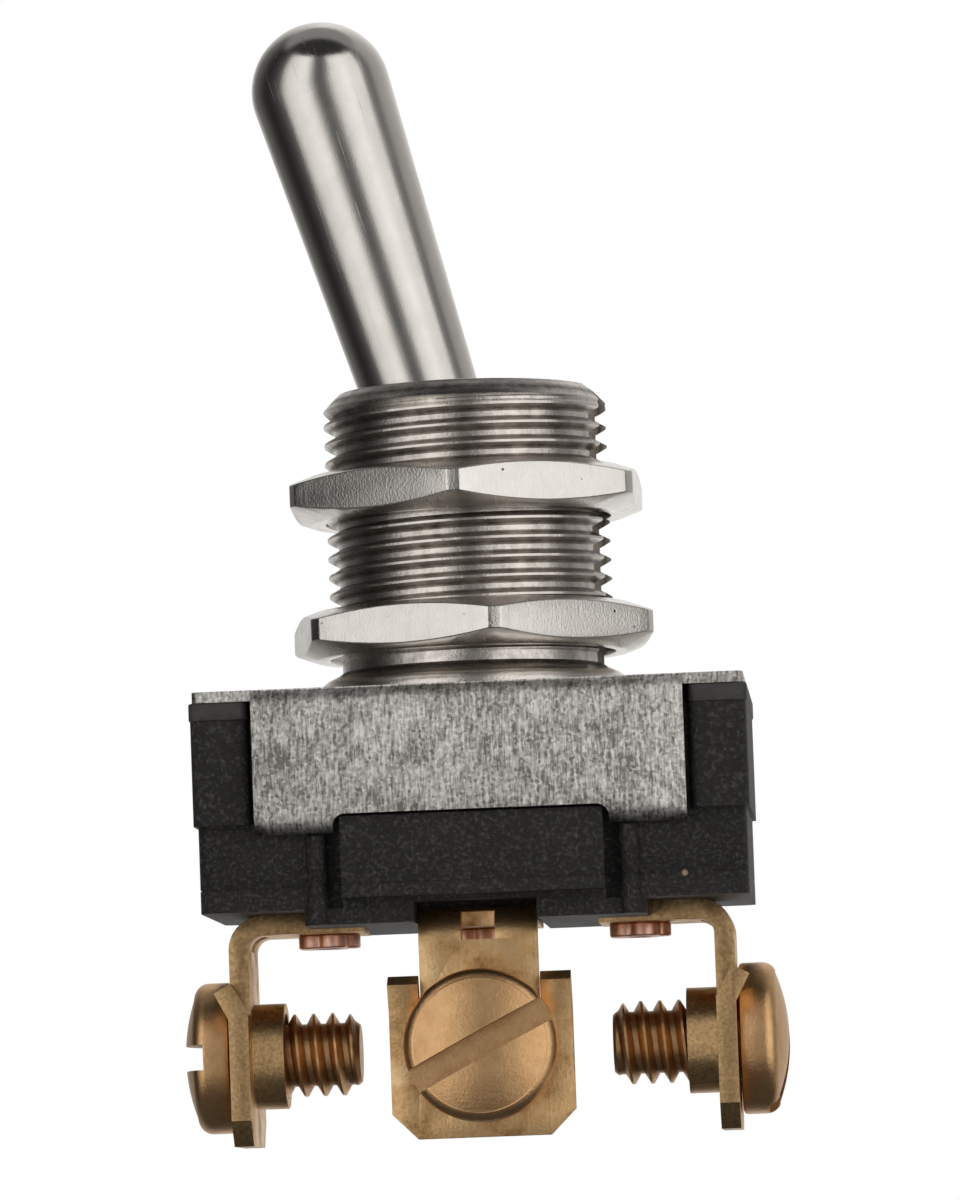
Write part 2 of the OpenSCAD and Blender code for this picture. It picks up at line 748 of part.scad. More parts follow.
bat_lever();
lever_pin();
plunger();
plunger_spring();
bushing();
upper_hex_nut();
lower_hex_nut();
mounting_frame();
gasket();
case();
terminal_left();
terminal_center();
terminal_right();
terminal_screw_left();
terminal_screw_center();
terminal_screw_right();
rivet_left();
rivet_center();
rivet_right();
fixed_contact_left();
fixed_contact_right();
fulcrum_yoke();
contact_rocker();
moving_contact_left();
moving_contact_right();
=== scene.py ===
import math
import bmesh
import bpy
import numpy as np
from mathutils import Matrix, Vector


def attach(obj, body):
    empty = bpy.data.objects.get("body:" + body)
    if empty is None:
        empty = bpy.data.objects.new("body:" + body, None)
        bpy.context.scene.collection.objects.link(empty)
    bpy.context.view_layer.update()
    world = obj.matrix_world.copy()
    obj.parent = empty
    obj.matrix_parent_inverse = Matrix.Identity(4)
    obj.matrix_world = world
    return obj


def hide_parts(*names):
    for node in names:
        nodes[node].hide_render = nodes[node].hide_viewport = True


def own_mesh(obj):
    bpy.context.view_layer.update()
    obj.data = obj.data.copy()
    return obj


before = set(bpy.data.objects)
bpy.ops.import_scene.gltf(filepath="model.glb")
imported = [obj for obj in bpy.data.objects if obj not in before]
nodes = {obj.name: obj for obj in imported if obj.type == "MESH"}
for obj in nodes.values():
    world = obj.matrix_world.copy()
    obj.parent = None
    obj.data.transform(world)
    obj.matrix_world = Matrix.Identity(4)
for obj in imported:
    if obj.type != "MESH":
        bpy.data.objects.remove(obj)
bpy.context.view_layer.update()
mm = 0.001
print("frame loaded:", len(nodes), "CAD nodes")


def linear(hexColour):
    # sRGB hex to the linear values that a shader socket takes
    channels = [int(hexColour[i:i + 2], 16) / 255 for i in (1, 3, 5)]
    return [c / 12.92 if c <= 0.04045 else ((c + 0.055) / 1.055) ** 2.4 for c in channels] + [1]


def add(tree, kind, inputs=None, **settings):
    # one node with its settings, its values and its links
    node = tree.nodes.new(kind)
    for key, value in settings.items():
        setattr(node, key, value)
    for key, value in (inputs or {}).items():
        if isinstance(value, bpy.types.NodeSocket):
            tree.links.new(value, node.inputs[key])
        else:
            node.inputs[key].default_value = value
    return node


def newObject(name, mesh):
    thing = bpy.data.objects.new(name, mesh)
    bpy.context.scene.collection.objects.link(thing)
    return thing


def meshFrom(name, points, faces):
    mesh = bpy.data.meshes.new(name)
    mesh.from_pydata([tuple(p) for p in points], [], faces)
    return mesh


def editMesh(mesh, work):
    # runs one bmesh job on a mesh and writes it back
    bm = bmesh.new()
    bm.from_mesh(mesh)
    work(bm)
    bm.to_mesh(mesh)
    bm.free()


def close(bm, distance=2e-6):
    # doubles merged and faces turned outwards
    bmesh.ops.remove_doubles(bm, verts=bm.verts, dist=distance)
    bmesh.ops.dissolve_degenerate(bm, edges=bm.edges, dist=1e-7)
    bmesh.ops.recalc_face_normals(bm, faces=bm.faces)


def settle(thing, modifiers):
    # adds the modifiers, keeps their result as a plain mesh and removes them
    for kind, settings in modifiers:
        step = thing.modifiers.new(kind.lower(), kind)
        for key, value in settings.items():
            setattr(step, key, value)
    graph = bpy.context.evaluated_depsgraph_get()
    result = bpy.data.meshes.new_from_object(thing.evaluated_get(graph))
    thing.modifiers.clear()
    thing.data = result
    return thing


def discard(thing):
    bpy.data.objects.remove(thing)


def lathe(profile, segments):
    # turns (radius, height) pairs round Z; a closed profile gives a closed ring
    angles = np.arange(segments) * 2 * math.pi / segments
    points = [(r * math.cos(a), r * math.sin(a), z) for r, z in profile for a in angles]
    faces = [(row * segments + k, row * segments + (k + 1) % segments,
              (row + 1) * segments + (k + 1) % segments, (row + 1) * segments + k)
             for row in range(len(profile) - 1) for k in range(segments)]
    return points, faces


def arc(centre, radius, start, end, steps):
    turn = [math.radians(start + (end - start) * k / steps) for k in range(steps + 1)]
    return [(centre[0] + radius * math.cos(t), centre[1] + radius * math.sin(t)) for t in turn]


def blockMesh(bm, low, high, matrix=None):
    # a closed box, for cutting
    made = bmesh.ops.create_cube(bm, size=1)["verts"]
    for vert in made:
        vert.co = Vector([low[k] + (vert.co[k] + 0.5) * (high[k] - low[k]) for k in range(3)])
        if matrix:
            vert.co = matrix @ vert.co


def rodMesh(bm, radius, low, high, matrix, segments=48):
    # a closed cylinder along its own Z, for cutting
    made = bmesh.ops.create_cone(bm, cap_ends=True, segments=segments, radius1=radius,
                                 radius2=radius, depth=high - low)["verts"]
    for vert in made:
        vert.co = matrix @ (vert.co + Vector((0, 0, (low + high) / 2)))


def prismMesh(bm, outline, low, high, matrix):
    # a closed prism over an outline in X and Y, for cutting
    ends = [[bm.verts.new(matrix @ Vector((x, y, z))) for x, y in outline] for z in (low, high)]
    count = len(outline)
    bm.faces.new(ends[0])
    bm.faces.new(ends[1])
    for k in range(count):
        bm.faces.new([ends[0][k], ends[0][(k + 1) % count], ends[1][(k + 1) % count], ends[1][k]])
    bmesh.ops.recalc_face_normals(bm, faces=bm.faces)


def cutAway(thing, build):
    # takes away what build() draws
    tool = newObject("cutter", bpy.data.meshes.new("cutter"))
    editMesh(tool.data, build)
    settle(thing, [("BOOLEAN", {"object": tool, "operation": "DIFFERENCE", "solver": "EXACT"})])
    discard(tool)


def shade(thing, sharpAngle=35):
    thing.data.shade_smooth()
    thing.data.set_sharp_from_angle(angle=math.radians(sharpAngle))


def finishPiece(thing, body, node, material, sharpAngle=35):
    # the piece stands for its CAD node and moves with its body
    thing.data.materials.clear()
    thing.data.materials.append(material)
    for face in thing.data.polygons:
        face.material_index = 0
    shade(thing, sharpAngle)
    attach(thing, body)
    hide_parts(node)


def softened(name, node, width, segments=2, angle=28):
    # a merged copy of a CAD node with its sharp edges rounded
    piece = newObject(name, nodes[node].data.copy())
    piece.data.materials.clear()

    def tidy(bm):
        close(bm, 4e-6)
        bmesh.ops.dissolve_limit(bm, angle_limit=math.radians(0.6), verts=bm.verts, edges=bm.edges)
    editMesh(piece.data, tidy)
    return settle(piece, [("BEVEL", {"width": width * mm, "segments": segments, "limit_method": "ANGLE",
                                     "angle_limit": math.radians(angle), "use_clamp_overlap": True,
                                     "miter_outer": "MITER_ARC"})])


def startMaterial(name):
    material = bpy.data.materials.new(name)
    material.use_nodes = True
    tree = material.node_tree
    tree.nodes.clear()
    shader = add(tree, "ShaderNodeBsdfPrincipled")
    add(tree, "ShaderNodeOutputMaterial", {"Surface": shader.outputs[0]})
    coords = add(tree, "ShaderNodeTexCoord").outputs["Object"]
    return material, tree, shader, coords


def perMm(size):
    # texture scale of a pattern whose grain is this many millimetres
    return 1 / (size * mm)


def brightNickel(name, sizes):
    # Electroplated nickel over turned brass: mirror bright where new, hazed and lightly
    # pitted by handling, with hair scratches. sizes holds its grain in millimetres.
    material, tree, shader, coords = startMaterial(name)
    turned = add(tree, "ShaderNodeMapping", {"Vector": coords, "Rotation": sizes["turn"]}).outputs[0]
    haze = add(tree, "ShaderNodeTexNoise", {"Vector": turned, "Scale": perMm(sizes["haze"]), "Detail": 7,
                                            "Roughness": 0.68})
    cloud = add(tree, "ShaderNodeMapRange", {"Value": haze.outputs[0], "From Min": 0.38, "From Max": 0.68,
                                             "To Min": sizes["gloss"], "To Max": sizes["dull"]})
    stretch = add(tree, "ShaderNodeMapping", {"Vector": turned, "Scale": sizes["brush"]}).outputs[0]
    brushed = add(tree, "ShaderNodeTexNoise", {"Vector": stretch, "Scale": 1, "Detail": 4, "Roughness": 0.6})
    grit = add(tree, "ShaderNodeTexNoise", {"Vector": turned, "Scale": perMm(0.09), "Detail": 3})
    pits = add(tree, "ShaderNodeTexVoronoi", {"Vector": turned, "Scale": perMm(sizes["pit"]),
                                              "Randomness": 1})
    hole = add(tree, "ShaderNodeMapRange", {"Value": pits.outputs["Distance"], "From Min": 0.05,
                                            "From Max": 0.13, "To Min": 0, "To Max": 1})
    chance = add(tree, "ShaderNodeMath", {0: pits.outputs["Color"], 1: sizes["pitShare"]},
                 operation="GREATER_THAN")
    pitMask = add(tree, "ShaderNodeMath", {0: hole.outputs[0], 1: chance.outputs[0]}, operation="MAXIMUM")
    scratchLie = add(tree, "ShaderNodeMapping", {"Vector": turned, "Rotation": (0.5, 0.9, 0.3),
                                                 "Scale": (perMm(0.05), perMm(5), perMm(4))}).outputs[0]
    scratch = add(tree, "ShaderNodeTexNoise", {"Vector": scratchLie, "Scale": 1, "Detail": 1,
                                               "Distortion": 0.6})
    line = add(tree, "ShaderNodeMapRange", {"Value": scratch.outputs[0], "From Min": 0.70,
                                            "From Max": 0.76, "To Min": 0, "To Max": 1})
    tint = add(tree, "ShaderNodeMix", {"Factor": haze.outputs[0], "A": linear(sizes["bright"]),
                                       "B": linear(sizes["shade"])}, data_type="RGBA")
    grime = add(tree, "ShaderNodeMix", {"Factor": pitMask.outputs[0], "A": linear("#4a423c"),
                                        "B": tint.outputs["Result"]}, data_type="RGBA")
    rough = add(tree, "ShaderNodeMath", {0: line.outputs[0], 1: 0.25, 2: cloud.outputs[0]},
                operation="MULTIPLY_ADD")
    lift = add(tree, "ShaderNodeMath", {0: brushed.outputs[0], 1: sizes["brushDepth"], 2: 0.0},
               operation="MULTIPLY_ADD")
    fine = add(tree, "ShaderNodeMath", {0: grit.outputs[0], 1: sizes["gritDepth"], 2: lift.outputs[0]},
               operation="MULTIPLY_ADD")
    deep = add(tree, "ShaderNodeMath", {0: pitMask.outputs[0], 1: 8.0, 2: fine.outputs[0]},
               operation="MULTIPLY_ADD")
    bump = add(tree, "ShaderNodeBump", {"Height": deep.outputs[0], "Distance": 0.001 * mm, "Strength": 1})
    for socket, value in {"Base Color": grime.outputs["Result"], "Roughness": rough.outputs[0],
                          "Normal": bump.outputs[0]}.items():
        tree.links.new(value, shader.inputs[socket])
    shader.inputs["Metallic"].default_value = 1
    return material


def threadMetal(name, looks):
    # Machined thread: bright worn crests; grime with painted shade darkens the flanks, read from the piece's
    # own recess attribute, which is 0 on a crest and 1 in a root; the darkening eases off past clearRoot.
    # Slot walls get painted shade.
    material, tree, shader, coords = startMaterial(name)
    recess = add(tree, "ShaderNodeAttribute", attribute_name="recess").outputs["Fac"]
    mottle = add(tree, "ShaderNodeTexNoise", {"Vector": coords, "Scale": perMm(0.7), "Detail": 8,
                                              "Roughness": 0.72})
    grit = add(tree, "ShaderNodeTexNoise", {"Vector": coords, "Scale": perMm(0.11), "Detail": 4})
    uneven = add(tree, "ShaderNodeMath", {0: mottle.outputs[0], 1: 0.9, 2: -0.45}, operation="MULTIPLY_ADD")
    fold = add(tree, "ShaderNodeMath", {0: recess, 1: looks["clearRoot"]}, operation="PINGPONG")
    depth = add(tree, "ShaderNodeMath", {0: fold.outputs[0], 1: uneven.outputs[0]}, operation="ADD",
                use_clamp=True)
    # grime and painted shade: the flanks are pulled towards the dark brown, partly real grime, partly
    # painted shade
    grimeAndPaintedShade = add(tree, "ShaderNodeMapRange", {"Value": depth.outputs[0], "From Min": looks["grimeShadeFrom"],
                                            "From Max": looks["grimeShadeTo"], "To Min": 0,
                                            "To Max": looks["grimeShadeMost"]}).outputs[0]
    tone = add(tree, "ShaderNodeMix", {"Factor": mottle.outputs[0], "A": linear(looks["bright"]),
                                       "B": linear(looks["shade"])}, data_type="RGBA")
    colour = add(tree, "ShaderNodeMix", {"Factor": grimeAndPaintedShade, "A": tone.outputs["Result"],
                                         "B": linear(looks["grimeAndPaintedShade"])}, data_type="RGBA")
    rough = add(tree, "ShaderNodeMapRange", {"Value": grimeAndPaintedShade, "From Min": 0, "From Max": 1,
                                             "To Min": looks["gloss"], "To Max": looks["dull"]})
    height = add(tree, "ShaderNodeMath", {0: grit.outputs[0], 1: mottle.outputs[0]}, operation="ADD")
    bump = add(tree, "ShaderNodeBump", {"Height": height.outputs[0], "Distance": looks["grit"] * mm,
                                        "Strength": 1})
    for socket, value in {"Base Color": colour.outputs["Result"], "Roughness": rough.outputs[0],
                          "Normal": bump.outputs[0]}.items():
        tree.links.new(value, shader.inputs[socket])
    shader.inputs["Metallic"].default_value = 1
    return material


def platedSteelSheet():
    # Zinc-plated steel strip, folded: dull and mottled, with the rolling grain running
    # up the flanges, sparkling crystals, and darker handling marks.
    material, tree, shader, coords = startMaterial("zincPlatedSteelSheet")
    grainLie = add(tree, "ShaderNodeMapping", {"Vector": coords,
                                               "Scale": (perMm(0.13), perMm(0.8), perMm(0.8))}).outputs[0]
    grain = add(tree, "ShaderNodeTexNoise", {"Vector": grainLie, "Scale": 1, "Detail": 5, "Roughness": 0.7})
    patches = add(tree, "ShaderNodeTexNoise", {"Vector": coords, "Scale": perMm(2.4), "Detail": 6,
                                               "Roughness": 0.62})
    sparkle = add(tree, "ShaderNodeTexVoronoi", {"Vector": coords, "Scale": perMm(0.13)})
    spark = add(tree, "ShaderNodeMath", {0: sparkle.outputs["Color"], 1: 0.22, 2: -0.11},
                operation="MULTIPLY_ADD")
    blend = add(tree, "ShaderNodeMath", {0: grain.outputs[0], 1: 0.8, 2: spark.outputs[0]},
                operation="MULTIPLY_ADD")
    tone = add(tree, "ShaderNodeMath", {0: patches.outputs[0], 1: 0.46, 2: blend.outputs[0]},
               operation="MULTIPLY_ADD")
    ramp = add(tree, "ShaderNodeValToRGB", {"Fac": tone.outputs[0]})
    ramp.color_ramp.elements[0].position = 0.50
    ramp.color_ramp.elements[0].color = linear("#827f79")
    ramp.color_ramp.elements[1].position = 0.78
    ramp.color_ramp.elements[1].color = linear("#fbf9f5")
    rough = add(tree, "ShaderNodeMapRange", {"Value": patches.outputs[0], "From Min": 0.35, "From Max": 0.65,
                                             "To Min": 0.36, "To Max": 0.52})
    bump = add(tree, "ShaderNodeBump", {"Height": tone.outputs[0], "Distance": 0.06 * mm, "Strength": 1})
    for socket, value in {"Base Color": ramp.outputs[0], "Roughness": rough.outputs[0],
                          "Normal": bump.outputs[0]}.items():
        tree.links.new(value, shader.inputs[socket])
    shader.inputs["Metallic"].default_value = 1
    return material


def blackPhenolic():
    # Compression-moulded black phenolic with wood-flour filler: charcoal, finely granular,
    # with a broken satin gloss, paler dust in the grain and a few ochre chips of filler.
    material, tree, shader, coords = startMaterial("blackPhenolicMoulding")
    grain = add(tree, "ShaderNodeTexNoise", {"Vector": coords, "Scale": perMm(0.17), "Detail": 5,
                                             "Roughness": 0.66})
    cloud = add(tree, "ShaderNodeTexNoise", {"Vector": coords, "Scale": perMm(2.2), "Detail": 5})
    chips = add(tree, "ShaderNodeTexVoronoi", {"Vector": coords, "Scale": perMm(1.5)})
    chip = add(tree, "ShaderNodeMapRange", {"Value": chips.outputs["Distance"], "From Min": 0.07,
                                            "From Max": 0.10, "To Min": 1, "To Max": 0})
    rare = add(tree, "ShaderNodeMath", {0: chips.outputs["Color"], 1: 0.86}, operation="GREATER_THAN")
    chipMask = add(tree, "ShaderNodeMath", {0: chip.outputs[0], 1: rare.outputs[0]}, operation="MULTIPLY")
    base = add(tree, "ShaderNodeMix", {"Factor": cloud.outputs[0], "A": linear("#121110"),
                                       "B": linear("#1b1a18")}, data_type="RGBA")
    dustAt = add(tree, "ShaderNodeMapRange", {"Value": grain.outputs[0], "From Min": 0.5, "From Max": 0.76,
                                              "To Min": 0, "To Max": 0.55})
    dust = add(tree, "ShaderNodeMix", {"Factor": dustAt.outputs[0], "A": base.outputs["Result"],
                                       "B": linear("#5a5854")}, data_type="RGBA")
    colour = add(tree, "ShaderNodeMix", {"Factor": chipMask.outputs[0], "A": dust.outputs["Result"],
                                         "B": linear("#8a7a5e")}, data_type="RGBA")
    rough = add(tree, "ShaderNodeMapRange", {"Value": grain.outputs[0], "From Min": 0.3, "From Max": 0.7,
                                             "To Min": 0.4, "To Max": 0.58})
    bump = add(tree, "ShaderNodeBump", {"Height": grain.outputs[0], "Distance": 0.16 * mm, "Strength": 1})
    for socket, value in {"Base Color": colour.outputs["Result"], "Roughness": rough.outputs[0],
                          "Normal": bump.outputs[0]}.items():
        tree.links.new(value, shader.inputs[socket])
    shader.inputs["IOR"].default_value = 1.45
    return material


def blackFibre():
    # Vulcanised fibre washer sheet, squeezed between metal and moulding: matt and lumpy.
    material, tree, shader, coords = startMaterial("blackVulcanisedFibre")
    lumps = add(tree, "ShaderNodeTexNoise", {"Vector": coords, "Scale": perMm(0.45), "Detail": 6,
                                             "Roughness": 0.7})
    colour = add(tree, "ShaderNodeMix", {"Factor": lumps.outputs[0], "A": linear("#0e0d0d"),
                                         "B": linear("#3a3836")}, data_type="RGBA")
    bump = add(tree, "ShaderNodeBump", {"Height": lumps.outputs[0], "Distance": 0.07 * mm, "Strength": 1})
    tree.links.new(colour.outputs["Result"], shader.inputs["Base Color"])
    tree.links.new(bump.outputs[0], shader.inputs["Normal"])
    shader.inputs["Roughness"].default_value = 0.55
    return material


def rolledBrass():
    # Half-hard brass strip, blanked and bent: satin rolled faces with brown tarnish clouds and
    # fine rolling lines, and sheared edges that are half burnished, half torn (shear attribute).
    material, tree, shader, coords = startMaterial("rolledBrassStrip")
    shear = add(tree, "ShaderNodeAttribute", attribute_name="shear").outputs["Fac"]
    cloud = add(tree, "ShaderNodeTexNoise", {"Vector": coords, "Scale": perMm(1.3), "Detail": 8,
                                             "Roughness": 0.7})
    speck = add(tree, "ShaderNodeTexNoise", {"Vector": coords, "Scale": perMm(0.14), "Detail": 4})
    rollLie = add(tree, "ShaderNodeMapping", {"Vector": coords,
                                              "Scale": (perMm(0.12), perMm(0.12), perMm(2.5))}).outputs[0]
    rolling = add(tree, "ShaderNodeTexNoise", {"Vector": rollLie, "Scale": 1, "Detail": 3})
    ramp = add(tree, "ShaderNodeValToRGB", {"Fac": cloud.outputs[0]})
    stops = ramp.color_ramp.elements
    stops[0].position, stops[0].color = 0.30, linear("#9a7347")
    stops[1].position, stops[1].color = 0.72, linear("#f4d2a2")
    middle = stops.new(0.46)
    middle.color = linear("#dcb27d")
    torn = add(tree, "ShaderNodeMix", {"Factor": speck.outputs[0], "A": linear("#7d5a36"),
                                       "B": linear("#f0cc98")}, data_type="RGBA")
    colour = add(tree, "ShaderNodeMix", {"Factor": shear, "A": ramp.outputs[0],
                                         "B": torn.outputs["Result"]}, data_type="RGBA")
    rough = add(tree, "ShaderNodeMapRange", {"Value": cloud.outputs[0], "From Min": 0.35, "From Max": 0.65,
                                             "To Min": 0.5, "To Max": 0.34})
    lines = add(tree, "ShaderNodeMath", {0: rolling.outputs[0], 1: 0.5, 2: speck.outputs[0]},
                operation="MULTIPLY_ADD")
    bump = add(tree, "ShaderNodeBump", {"Height": lines.outputs[0], "Distance": 0.012 * mm, "Strength": 1})
    for socket, value in {"Base Color": colour.outputs["Result"], "Roughness": rough.outputs[0],
                          "Normal": bump.outputs[0]}.items():
        tree.links.new(value, shader.inputs[socket])
    shader.inputs["Metallic"].default_value = 1
    return material


def rivetCopper():
    # Soft copper rivet, clinched by a star punch: reddish, with brighter clouds at random.
    material, tree, shader, coords = startMaterial("clinchedCopper")
    cloud = add(tree, "ShaderNodeTexNoise", {"Vector": coords, "Scale": perMm(0.5), "Detail": 6,
                                             "Roughness": 0.7})
    colour = add(tree, "ShaderNodeMix", {"Factor": cloud.outputs[0], "A": linear("#cf8369"),
                                         "B": linear("#ffe0cc")}, data_type="RGBA")
    bump = add(tree, "ShaderNodeBump", {"Height": cloud.outputs[0], "Distance": 0.03 * mm, "Strength": 1})
    tree.links.new(colour.outputs["Result"], shader.inputs["Base Color"])
    tree.links.new(bump.outputs[0], shader.inputs["Normal"])
    shader.inputs["Metallic"].default_value = 1
    shader.inputs["Roughness"].default_value = 0.38
    return material


def innerFinish(name, looks):
    # Plain working finish of a piece inside the case: two tones and a fine grain.
    material, tree, shader, coords = startMaterial(name)
    grain = add(tree, "ShaderNodeTexNoise", {"Vector": coords, "Scale": perMm(looks["grain"]), "Detail": 4})
    colour = add(tree, "ShaderNodeMix", {"Factor": grain.outputs[0], "A": linear(looks["dark"]),
                                         "B": linear(looks["light"])}, data_type="RGBA")
    bump = add(tree, "ShaderNodeBump", {"Height": grain.outputs[0], "Distance": 0.004 * mm, "Strength": 1})
    tree.links.new(colour.outputs["Result"], shader.inputs["Base Color"])
    tree.links.new(bump.outputs[0], shader.inputs["Normal"])
    shader.inputs["Metallic"].default_value = looks["metal"]
    shader.inputs["Roughness"].default_value = looks["rough"]
    return material


leverTilt = math.radians(16.1)
leverNickel = brightNickel("handledNickelPlate", {
    "turn": (0, leverTilt, 0), "haze": 1.5, "gloss": 0.12, "dull": 0.22, "pit": 0.8, "pitShare": 0.1,
    "brush": (perMm(0.3), perMm(0.3), perMm(9)), "brushDepth": 1.0, "gritDepth": 2.4,
    "bright": "#e9e6e1", "shade": "#d2cec8"})
nutNickel = brightNickel("brightNickelNutPlate", {
    "turn": (0, 0, 0), "haze": 0.8, "gloss": 0.1, "dull": 0.24, "pit": 0.6, "pitShare": 0.3,
    "brush": (perMm(0.14), perMm(0.14), perMm(3)), "brushDepth": 3.0, "gritDepth": 11.0,
    "bright": "#eeebe6", "shade": "#dad6d0"})
# the dark brown colours below are grime with painted shade on the thread flanks and slot walls
bushingNickel = threadMetal("nickelThreadGrimeAndShade", {
    "bright": "#f3eee8", "shade": "#c6bfb8", "grimeAndPaintedShade": "#41362f", "grimeShadeFrom": 0.14, "grimeShadeTo": 0.66,
    "grimeShadeMost": 0.82, "gloss": 0.2, "dull": 0.4, "grit": 0.009, "clearRoot": 0.6})
screwBronze = threadMetal("turnedBrassGrimeAndShade", {
    "bright": "#fdd29e", "shade": "#bc8b59", "grimeAndPaintedShade": "#5a3a21", "grimeShadeFrom": 0.25, "grimeShadeTo": 0.85,
    "grimeShadeMost": 0.5, "gloss": 0.35, "dull": 0.5, "grit": 0.012, "clearRoot": 0.8})
sheetSteel = platedSteelSheet()
phenolic = blackPhenolic()
fibre = blackFibre()
brass = rolledBrass()
copper = rivetCopper()
innerLooks = {
    "groundSteelPin": ({"grain": 0.2, "dark": "#8b8b8b", "light": "#b4b3b0", "metal": 1, "rough": 0.25},
                       ["lever_pin"]),
    "drawnSpringWire": ({"grain": 0.15, "dark": "#55585c", "light": "#8f9296", "metal": 1, "rough": 0.3},
                        ["plunger_spring"]),
    "naturalNylon": ({"grain": 0.6, "dark": "#cfc6ad", "light": "#e6dfca", "metal": 0, "rough": 0.4},
                     ["plunger"]),
    "fineSilver": ({"grain": 0.3, "dark": "#c9c8c4", "light": "#efeeea", "metal": 1, "rough": 0.3},
                   ["fixed_contact_left", "fixed_contact_right", "moving_contact_left",
                    "moving_contact_right"]),
    "pressedBrass": ({"grain": 0.5, "dark": "#94703f", "light": "#c79f63", "metal": 1, "rough": 0.35},
                     ["fulcrum_yoke", "contact_rocker"])}
for name, (looks, members) in innerLooks.items():
    finish = innerFinish(name, looks)
    for member in members:
        nodes[member].data.materials.clear()
        nodes[member].data.materials.append(finish)
print("finishes ready")


def threadTree():
    # A sleeve whose radius follows a right-hand thread: flat crests and roots, straight flanks,
    # nicked crests, and runouts at both ends. The sleeve stands on Z.
    tree = bpy.data.node_groups.new("turnedThread", "GeometryNodeTree")
    face = tree.interface
    for name, kind, value in (
            ("Crest Radius", "NodeSocketFloat", 1.0), ("Thread Depth", "NodeSocketFloat", 0.1),
            ("Low Radius", "NodeSocketFloat", 1.0), ("Pitch", "NodeSocketFloat", 0.1),
            ("Bottom", "NodeSocketFloat", 0.0), ("Top", "NodeSocketFloat", 1.0),
            ("Low Runout", "NodeSocketFloat", 0.1), ("High Runout", "NodeSocketFloat", 0.1),
            ("Nick Depth", "NodeSocketFloat", 0.0), ("Nick Size", "NodeSocketFloat", 1.0),
            ("Seed", "NodeSocketFloat", 1.0), ("Columns", "NodeSocketInt", 65),
            ("Rows", "NodeSocketInt", 65)):
        face.new_socket(name, in_out="INPUT", socket_type=kind).default_value = value
    face.new_socket("Finish", in_out="INPUT", socket_type="NodeSocketMaterial")
    face.new_socket("Geometry", in_out="OUTPUT", socket_type="NodeSocketGeometry")
    given = add(tree, "NodeGroupInput").outputs

    def calc(operation, *values, clamp=False):
        return add(tree, "ShaderNodeMath", dict(enumerate(values)), operation=operation,
                   use_clamp=clamp).outputs[0]
    grid = add(tree, "GeometryNodeMeshGrid", {"Size X": 1, "Size Y": 1, "Vertices X": given["Columns"],
                                              "Vertices Y": given["Rows"]})
    place = add(tree, "ShaderNodeSeparateXYZ", {0: add(tree, "GeometryNodeInputPosition").outputs[0]})
    around = calc("ADD", place.outputs[0], 0.5)
    along = calc("ADD", place.outputs[1], 0.5)
    span = calc("SUBTRACT", given["Top"], given["Bottom"])
    turns = calc("ADD", calc("CEIL", calc("DIVIDE", span, given["Pitch"])), 1)
    t = calc("MULTIPLY", along, turns)
    rise = calc("MULTIPLY", calc("SUBTRACT", calc("ADD", t, around), 1), given["Pitch"])
    height = calc("MINIMUM", calc("MAXIMUM", calc("ADD", rise, given["Bottom"]), given["Bottom"]),
                  given["Top"])
    fromCrest = calc("ABSOLUTE", calc("SUBTRACT", calc("FRACT", calc("ADD", t, 0.4375)), 0.5))
    ridge = calc("DIVIDE", calc("SUBTRACT", 0.375, fromCrest), 0.3125, clamp=True)
    low = calc("DIVIDE", calc("SUBTRACT", height, given["Bottom"]), given["Low Runout"], clamp=True)
    high = calc("DIVIDE", calc("SUBTRACT", given["Top"], height), given["High Runout"], clamp=True)
    groove = calc("MULTIPLY", calc("MULTIPLY", calc("SUBTRACT", 1, ridge), given["Thread Depth"]), high)
    turn = calc("MULTIPLY", around, 2 * math.pi)
    side = add(tree, "ShaderNodeCombineXYZ", {0: calc("COSINE", turn), 1: calc("SINE", turn),
                                              2: calc("DIVIDE", height, given["Crest Radius"])})
    nickScale = calc("DIVIDE", given["Crest Radius"], given["Nick Size"])
    nick = add(tree, "ShaderNodeTexNoise", {"Vector": side.outputs[0], "W": given["Seed"],
                                            "Scale": nickScale, "Detail": 3}, noise_dimensions="4D")
    bite = calc("MULTIPLY", calc("MAXIMUM", calc("SUBTRACT", nick.outputs[0], 0.52), 0), given["Nick Depth"])
    worn = calc("MULTIPLY", calc("MULTIPLY", bite, ridge), calc("MULTIPLY", low, high))
    cut = calc("SUBTRACT", calc("SUBTRACT", given["Crest Radius"], groove), worn)
    radius = calc("ADD", calc("MULTIPLY", cut, low),
                  calc("MULTIPLY", given["Low Radius"], calc("SUBTRACT", 1, low)))
    spot = add(tree, "ShaderNodeCombineXYZ", {0: calc("MULTIPLY", calc("COSINE", turn), radius),
                                              1: calc("MULTIPLY", calc("SINE", turn), radius), 2: height})
    moved = add(tree, "GeometryNodeSetPosition", {"Geometry": grid.outputs[0], "Position": spot.outputs[0]})
    merged = add(tree, "GeometryNodeMergeByDistance", {"Geometry": moved.outputs[0], "Distance": 2e-6})
    real = add(tree, "GeometryNodeRealizeInstances", {"Geometry": merged.outputs[0]})
    finished = add(tree, "GeometryNodeSetMaterial", {"Geometry": real.outputs[0],
                                                     "Material": given["Finish"]})
    add(tree, "NodeGroupOutput", {"Geometry": finished.outputs[0]})
    return tree


threadNodes = threadTree()


